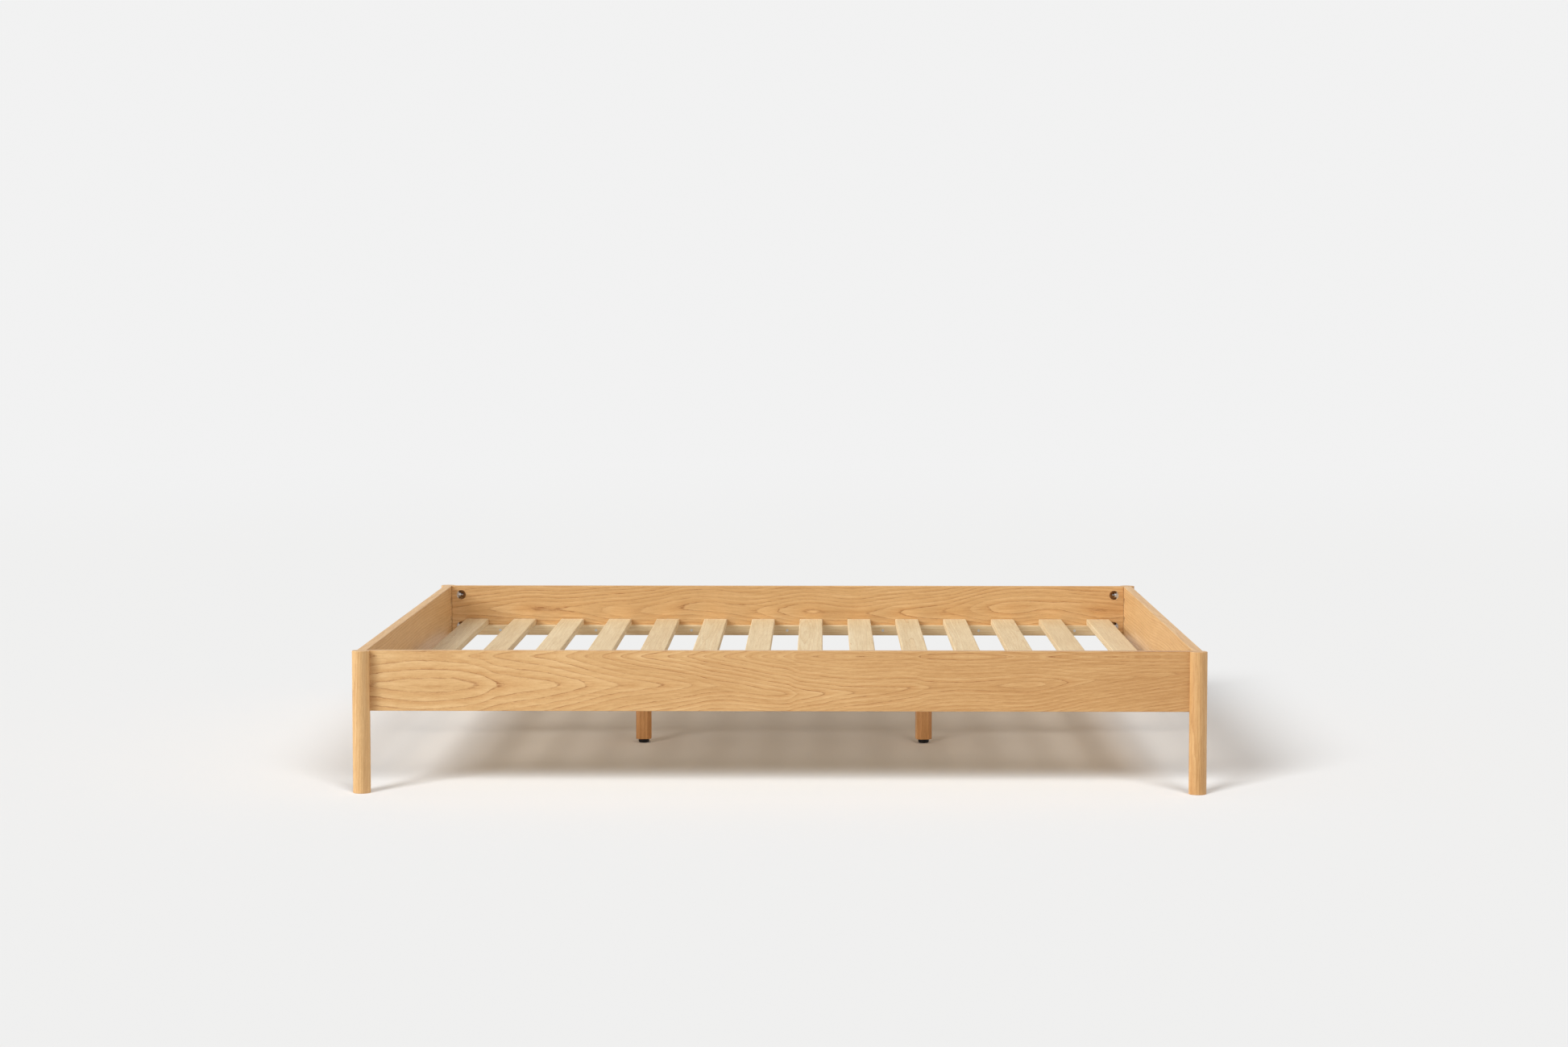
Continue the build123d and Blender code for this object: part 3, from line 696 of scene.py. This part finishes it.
tree.links.new(slat_index, slat_lottery.inputs["W"])
slat_luck = slat_lottery.outputs["Value"]
slat_seed = calc(tree, "MULTIPLY", slat_luck, 40.0)
slat_off_pith = centred(tree, slat_luck, 0.20)
slat_across = calc(tree, "ADD", calc(tree, "SUBTRACT", x, slat_middle), slat_off_pith)
slat_depth = wandering(tree, y, slat_seed, 0.90, 0.016, 0.034)
slat_figure = {
    "Along": y,
    "Depth": calc(tree, "ADD", slat_depth, calc(tree, "SUBTRACT", z, slat_top)),
    "Across": slat_across,
    "Rings": wandering(tree, y, calc(tree, "ADD", slat_seed, 0.5), 1.10, 2.2),
    "Ring Width": -0.0042,
    "Waviness": 0.003,
    "Unevenness": 0.6,
    "Seed": slat_seed,
}
finish_timber(tree, shader, slat_figure, pine_colours, 0.50, 0.75, centred(tree, slat_luck, 0.10))
give(slat_material, *slats)

ledger_y = 0.90
support_material, tree, shader, (x, y, z) = start_material("pine_supports")
support_seed = calc(tree, "ADD", calc(tree, "SIGN", calc(tree, "ROUND", y)), 50.0)
support_figure = {
    "Along": x,
    "Depth": calc(tree, "ADD", z, -0.140),
    "Across": calc(tree, "ADD", mirror_offset(tree, y, ledger_y), 0.03),
    "Rings": wandering(tree, x, support_seed, 0.45, 3.0),
    "Ring Width": -0.0042,
    "Waviness": 0.003,
    "Unevenness": 0.6,
    "Seed": support_seed,
}
finish_timber(tree, shader, support_figure, pine_colours, 0.50, 0.75)
give(support_material, "near_slat_ledger", "far_slat_ledger", "centre_beam")

# ---------------------------------------------------------------------------
# Corner bolts: M8 hanger bolts in bright zinc plate. A coarse wood thread is
# driven in the post, and a fine machine thread comes out in the rail's pocket.
# ---------------------------------------------------------------------------
zinc_material, tree, shader, (x, y, z) = start_material("zinc_plate")
zinc_place = tree.nodes.new("ShaderNodeTexCoord").outputs["Object"]
zinc_cloud = speckle(tree, zinc_place, (0.006, 0.006, 0.006), 3.0)
zinc_scratch = speckle(tree, zinc_place, (0.0008, 0.0008, 0.0008), 2.0)
zinc_ramp = tree.nodes.new("ShaderNodeValToRGB")
zinc_ramp.color_ramp.elements[0].color = (0.50, 0.51, 0.52, 1.0)
zinc_ramp.color_ramp.elements[1].color = (0.74, 0.75, 0.76, 1.0)
tree.links.new(zinc_cloud, zinc_ramp.inputs[0])
tree.links.new(zinc_ramp.outputs[0], shader.inputs["Base Color"])
shader.inputs["Metallic"].default_value = 1.0
tree.links.new(spread(tree, zinc_scratch, 0.2, 0.8, 0.24, 0.42), shader.inputs["Roughness"])
zinc_bump = tree.nodes.new("ShaderNodeBump")
zinc_bump.inputs["Strength"].default_value = 0.15
zinc_bump.inputs["Distance"].default_value = 0.00003
tree.links.new(zinc_scratch, zinc_bump.inputs["Height"])
tree.links.new(zinc_bump.outputs[0], shader.inputs["Normal"])


def deselect():
    """Let go of everything, so that the next operator acts on one piece alone."""
    if bpy.context.object and bpy.context.object.mode != "OBJECT":
        bpy.ops.object.mode_set(mode="OBJECT")
    bpy.ops.object.select_all(action="DESELECT")


thread_flank = 0.36
thread_crest_flat = 0.12
thread_root_flat = 0.08
thread_run_in = 2.3
thread_spare_turns = 4
cut_closeness = 1e-7


def cut_thread(crest, root, pitch, low, high, steps=16):
    """A right-hand threaded rod along Z: one tooth's outline swept up a screw, and cut off square."""
    deselect()
    bpy.ops.mesh.primitive_plane_add(size=pitch)
    rod = bpy.context.active_object
    bpy.ops.object.mode_set(mode="EDIT")
    # One lone point can only be picked in vertex mode, and the last piece may have left another mode on.
    bpy.ops.mesh.select_mode(type="VERT")
    bpy.ops.mesh.select_all(action="SELECT")
    bpy.ops.mesh.merge(type="CENTER")
    # The sweep starts and ends at least a whole turn past the two cuts, so each cut is one closed loop.
    bpy.ops.transform.translate(value=(root, 0.0, low - thread_run_in * pitch))
    tooth = crest - root
    for step in (
        (0.0, 0.0, thread_root_flat * pitch),
        (tooth, 0.0, thread_flank * pitch),
        (0.0, 0.0, thread_crest_flat * pitch),
        (-tooth, 0.0, thread_flank * pitch),
        (0.0, 0.0, thread_root_flat * pitch),
    ):
        bpy.ops.mesh.extrude_region_move(TRANSFORM_OT_translate={"value": step})
    bpy.ops.object.mode_set(mode="OBJECT")
    sweep = rod.modifiers.new("sweep", "SCREW")
    sweep.axis = "Z"
    sweep.angle = 2 * math.pi
    sweep.screw_offset = pitch
    sweep.iterations = math.ceil((high - low) / pitch) + thread_spare_turns
    sweep.steps = steps
    sweep.render_steps = steps
    sweep.use_merge_vertices = True
    sweep.merge_threshold = 1e-6
    bpy.ops.object.modifier_apply(modifier=sweep.name)
    bpy.ops.object.mode_set(mode="EDIT")
    bpy.ops.mesh.select_all(action="SELECT")
    bpy.ops.mesh.remove_doubles(threshold=1e-6)
    bpy.ops.mesh.bisect(
        plane_co=(0, 0, low), plane_no=(0, 0, 1), use_fill=True, clear_inner=True, threshold=cut_closeness
    )
    bpy.ops.mesh.select_all(action="SELECT")
    bpy.ops.mesh.bisect(
        plane_co=(0, 0, high), plane_no=(0, 0, 1), use_fill=True, clear_outer=True, threshold=cut_closeness
    )
    bpy.ops.mesh.select_all(action="SELECT")
    bpy.ops.mesh.normals_make_consistent(inside=False)
    bpy.ops.object.mode_set(mode="OBJECT")
    return rod


def lies_level(spots):
    """Whether an edge runs level, as a rim does."""
    return abs(spots[0].z - spots[1].z) < 1e-6


def pick(piece, mode, wanted):
    """In edit mode, select the faces or edges whose corner points pass a test."""
    bpy.ops.mesh.select_mode(type=mode)
    bpy.ops.mesh.select_all(action="DESELECT")
    bpy.ops.object.mode_set(mode="OBJECT")
    mesh = piece.data
    for part in mesh.polygons if mode == "FACE" else mesh.edges:
        spots = [mesh.vertices[index].co for index in part.vertices]
        part.select = wanted(spots)
    bpy.ops.object.mode_set(mode="EDIT")


def join(pieces, name):
    """Several shapes made one piece, with its transforms applied."""
    deselect()
    for piece in pieces:
        piece.select_set(True)
    bpy.context.view_layer.objects.active = pieces[0]
    bpy.ops.object.join()
    joined = bpy.context.active_object
    bpy.ops.object.transform_apply(location=True, rotation=True, scale=True)
    joined.name = name
    joined.data.name = name
    return joined


def place_copies(model, places, name):
    """A copy of a model at each place, given as (origin, turn about X, Y and Z), in one piece."""
    copies = []
    for origin, turn in places:
        copy = model.copy()
        copy.data = model.data.copy()
        copy.location = origin
        copy.rotation_euler = turn
        bpy.context.scene.collection.objects.link(copy)
        copies.append(copy)
    bpy.data.objects.remove(model)
    return join(copies, name)


widest_smooth_angle = 32


def dress(piece, material, body, slot, *replaced):
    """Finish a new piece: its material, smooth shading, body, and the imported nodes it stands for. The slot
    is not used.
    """
    piece.data.materials.clear()
    piece.data.materials.append(material)
    deselect()
    piece.select_set(True)
    bpy.context.view_layer.objects.active = piece
    bpy.ops.object.shade_smooth_by_angle(angle=math.radians(widest_smooth_angle))
    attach(piece, body)
    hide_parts(*replaced)


m8_crest = 0.0040
m8_root = 0.00335
m8_pitch = 0.00125
bolt_tail = 0.005
bolt_length = 0.060
bolt_fine_end = 0.022
bolt_shank_end = 0.028
wood_thread_pitch = 0.0030
wood_thread_root = 0.0029
point_length = 0.006
point_tip = 0.0004

fine_thread = cut_thread(m8_crest, m8_root, m8_pitch, -bolt_tail, bolt_fine_end)
deselect()
bpy.ops.mesh.primitive_cylinder_add(
    vertices=32, radius=m8_crest, depth=bolt_shank_end - bolt_fine_end,
    location=(0.0, 0.0, (bolt_shank_end + bolt_fine_end) / 2),
)
bolt_shank = bpy.context.active_object
bpy.ops.object.mode_set(mode="EDIT")
pick(bolt_shank, "EDGE", lies_level)
bpy.ops.mesh.bevel(offset=0.0005, segments=2)
bpy.ops.object.mode_set(mode="OBJECT")
wood_thread_top = bolt_length - bolt_tail - point_length
wood_thread = cut_thread(m8_crest, wood_thread_root, wood_thread_pitch, bolt_shank_end, wood_thread_top)
deselect()
bpy.ops.mesh.primitive_cone_add(
    vertices=32, radius1=wood_thread_root, radius2=point_tip, depth=point_length,
    location=(0.0, 0.0, wood_thread_top + point_length / 2),
)
bolt_point = bpy.context.active_object
bpy.ops.object.mode_set(mode="EDIT")
pick(bolt_point, "EDGE", lambda spots: min(spot.z for spot in spots) > 0.98 * point_length / 2)
bpy.ops.mesh.bevel(offset=0.0002, segments=2)
bpy.ops.object.mode_set(mode="OBJECT")
hanger_bolt = join([fine_thread, bolt_shank, wood_thread, bolt_point], "hanger_bolt")

pocket_setback = 0.028
side_bolt_rises = (0.027, 0.123)
end_bolt_rises = (0.047, 0.103)
end_rail_low, end_rail_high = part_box("foot_rail")
corner_places = []
for end in (-1, 1):
    for side in (-1, 1):
        for rise in side_bolt_rises:
            bolt_spot = (
                end * (near_high.x - pocket_setback),
                side * middle_of("near_side_rail", 1),
                near_low.z + rise,
            )
            corner_places.append((bolt_spot, (0.0, end * math.pi / 2, 0.0)))
        for rise in end_bolt_rises:
            bolt_spot = (
                end * middle_of("foot_rail", 0),
                side * (end_rail_high.y - pocket_setback),
                end_rail_low.z + rise,
            )
            corner_places.append((bolt_spot, (-side * math.pi / 2, 0.0, 0.0)))
corner_bolts = place_copies(hanger_bolt, corner_places, "corner_bolts")
dress(corner_bolts, zinc_material, "bed", "zinc_steel", "corner_hanger_bolts")

# ---------------------------------------------------------------------------
# Corner nuts: hexagon nuts, 13 mm across flats, their corners turned off to a
# cone on both faces. They are drawn up against the crescent washers.
# ---------------------------------------------------------------------------
nut_across_flats = 0.013
nut_thickness = 0.0065
nut_washer_flat = 0.008
nut_bore = 0.00405
nut_round = 0.00735
nut_edge_turning = 0.0009
nut_bore_chamfer = 0.0003
nut_middle = nut_washer_flat - nut_thickness / 2
deselect()
bpy.ops.mesh.primitive_cylinder_add(
    vertices=64, radius=nut_round, depth=nut_thickness, location=(0.0, 0.0, nut_middle)
)
nut = bpy.context.active_object
bpy.ops.object.transform_apply(location=True, rotation=True, scale=True)
bpy.ops.object.mode_set(mode="EDIT")
pick(nut, "EDGE", lies_level)
bpy.ops.mesh.bevel(offset=nut_edge_turning, segments=1)
pick(nut, "FACE", lambda spots: len(spots) == 64)
bpy.ops.mesh.inset(thickness=nut_round - nut_edge_turning - nut_bore - nut_bore_chamfer)
bpy.ops.mesh.delete(type="FACE")
bore_rim = nut_bore + nut_bore_chamfer + 0.0002
pick(nut, "EDGE", lambda spots: all(spot.xy.length < bore_rim for spot in spots))
bpy.ops.mesh.bridge_edge_loops()
pick(nut, "EDGE", lambda spots: all(spot.xy.length < bore_rim for spot in spots) and lies_level(spots))
bpy.ops.mesh.bevel(offset=nut_bore_chamfer, segments=1)
bpy.ops.mesh.select_all(action="SELECT")
bpy.ops.mesh.normals_make_consistent(inside=False)
deselect()
bpy.ops.mesh.primitive_cylinder_add(
    vertices=6, radius=nut_across_flats / 2 / math.cos(math.pi / 6), depth=nut_thickness * 1.5,
    location=(0.0, 0.0, nut_middle),
)
hexagon = bpy.context.active_object
deselect()
nut.select_set(True)
bpy.context.view_layer.objects.active = nut
flats = nut.modifiers.new("flats", "BOOLEAN")
flats.operation = "INTERSECT"
flats.object = hexagon
bpy.ops.object.modifier_apply(modifier=flats.name)
bpy.data.objects.remove(hexagon)
drawn_nuts = place_copies(nut, corner_places, "drawn_nuts")
dress(drawn_nuts, zinc_material, "bed", "zinc_steel", "corner_nuts")

# ---------------------------------------------------------------------------
# Leg bolts: shorter M8 hanger bolts, wood thread down in the leg and machine
# thread up in the beam's brass insert.
# ---------------------------------------------------------------------------
leg_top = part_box("head_centre_leg")[1].z
leg_bolt_depth = 0.028
leg_bolt_rise = 0.019
leg_wood_low = point_length - leg_bolt_depth
leg_wood_thread = cut_thread(m8_crest, wood_thread_root, wood_thread_pitch, leg_wood_low, 0.0)
leg_fine_thread = cut_thread(m8_crest, m8_root, m8_pitch, 0.0, leg_bolt_rise)
deselect()
bpy.ops.mesh.primitive_cone_add(
    vertices=32, radius1=point_tip, radius2=wood_thread_root, depth=point_length,
    location=(0.0, 0.0, point_length / 2 - leg_bolt_depth),
)
leg_bolt_point = bpy.context.active_object
bpy.ops.object.mode_set(mode="EDIT")
pick(leg_bolt_point, "EDGE", lambda spots: max(spot.z for spot in spots) < -0.98 * point_length / 2)
bpy.ops.mesh.bevel(offset=0.0002, segments=2)
bpy.ops.object.mode_set(mode="OBJECT")
leg_bolt = join([leg_fine_thread, leg_wood_thread, leg_bolt_point], "leg_bolt")
leg_places = [((end * leg_x, 0.0, leg_top), (0.0, 0.0, 0.0)) for end in (-1, 1)]
leg_bolts = place_copies(leg_bolt, leg_places, "leg_bolts")
dress(leg_bolts, zinc_material, "bed", "zinc_steel", "leg_hanger_bolts")

# ---------------------------------------------------------------------------
# Levelling studs: M8 studs with a spanner hexagon and a flange that turns in
# the nylon base. Each turns with its own body and screws out of the leg.
# ---------------------------------------------------------------------------
flange_radius, flange_low, flange_high = 0.0067, 0.00305, 0.0077
spanner_flats, spanner_high = 0.009, 0.0106
stud_top = 0.046
for end, body in ((-1, "head_stud"), (1, "foot_stud")):
    stud_thread = cut_thread(m8_crest, m8_root, m8_pitch, spanner_high, stud_top)
    deselect()
    bpy.ops.mesh.primitive_cylinder_add(
        vertices=48, radius=flange_radius, depth=flange_high - flange_low,
        location=(0.0, 0.0, (flange_high + flange_low) / 2),
    )
    flange = bpy.context.active_object
    bpy.ops.object.mode_set(mode="EDIT")
    pick(flange, "EDGE", lies_level)
    bpy.ops.mesh.bevel(offset=0.0004, segments=2)
    deselect()
    bpy.ops.mesh.primitive_cylinder_add(
        vertices=6, radius=spanner_flats / 2 / math.cos(math.pi / 6), depth=spanner_high - flange_high,
        location=(0.0, 0.0, (spanner_high + flange_high) / 2),
    )
    spanner = bpy.context.active_object
    bpy.ops.object.mode_set(mode="EDIT")
    bpy.ops.mesh.select_all(action="SELECT")
    bpy.ops.mesh.bevel(offset=0.0003, segments=2)
    bpy.ops.object.mode_set(mode="OBJECT")
    stud = join([stud_thread, flange, spanner], body + "_rod")
    stud.location = (end * leg_x, 0.0, 0.0)
    bpy.ops.object.transform_apply(location=True, rotation=True, scale=True)
    dress(stud, zinc_material, body, "zinc_steel", body.replace("_stud", "_levelling_stud"))

# ---------------------------------------------------------------------------
# Crescent washers, beam hangers and wood screws: pressed, folded and cold-
# headed steel with the same zinc plate.
# ---------------------------------------------------------------------------
give(
    zinc_material,
    "head_beam_hanger", "foot_beam_hanger", "corner_crescent_washers",
    "slat_screws", "ledger_screws", "hanger_screws",
)

# ---------------------------------------------------------------------------
# Threaded inserts: turned brass, set in the legs' lower ends and in the beam.
# The levelling studs and the leg bolts screw into them.
# ---------------------------------------------------------------------------
brass_material, tree, shader, (x, y, z) = start_material("turned_brass")
brass_place = tree.nodes.new("ShaderNodeTexCoord").outputs["Object"]
brass_cloud = speckle(tree, brass_place, (0.003, 0.003, 0.0004), 2.0)
brass_ramp = tree.nodes.new("ShaderNodeValToRGB")
brass_ramp.color_ramp.elements[0].color = (0.60, 0.42, 0.15, 1.0)
brass_ramp.color_ramp.elements[1].color = (0.86, 0.66, 0.32, 1.0)
tree.links.new(brass_cloud, brass_ramp.inputs[0])
tree.links.new(brass_ramp.outputs[0], shader.inputs["Base Color"])
shader.inputs["Metallic"].default_value = 1.0
tree.links.new(spread(tree, brass_cloud, 0.2, 0.8, 0.22, 0.38), shader.inputs["Roughness"])
give(brass_material, "leg_inserts", "beam_inserts")

# ---------------------------------------------------------------------------
# Levelling bases: moulded black nylon, faintly textured. Each stands on the
# floor under a centre leg and holds its stud's flange in a socket.
# ---------------------------------------------------------------------------
nylon_material, tree, shader, (x, y, z) = start_material("black_nylon")
nylon_place = tree.nodes.new("ShaderNodeTexCoord").outputs["Object"]
nylon_cloud = speckle(tree, nylon_place, (0.004, 0.004, 0.004), 3.0)
nylon_grain = speckle(tree, nylon_place, (0.0004, 0.0004, 0.0004), 2.0)
nylon_ramp = tree.nodes.new("ShaderNodeValToRGB")
nylon_ramp.color_ramp.elements[0].color = (0.004, 0.004, 0.005, 1.0)
nylon_ramp.color_ramp.elements[1].color = (0.010, 0.010, 0.012, 1.0)
tree.links.new(nylon_cloud, nylon_ramp.inputs[0])
tree.links.new(nylon_ramp.outputs[0], shader.inputs["Base Color"])
tree.links.new(spread(tree, nylon_cloud, 0.2, 0.8, 0.42, 0.56), shader.inputs["Roughness"])
nylon_bump = tree.nodes.new("ShaderNodeBump")
nylon_bump.inputs["Strength"].default_value = 0.3
nylon_bump.inputs["Distance"].default_value = 0.0001
tree.links.new(nylon_grain, nylon_bump.inputs["Height"])
tree.links.new(nylon_bump.outputs[0], shader.inputs["Normal"])
shader.inputs["Specular IOR Level"].default_value = 0.3
give(nylon_material, "head_levelling_base", "foot_levelling_base")
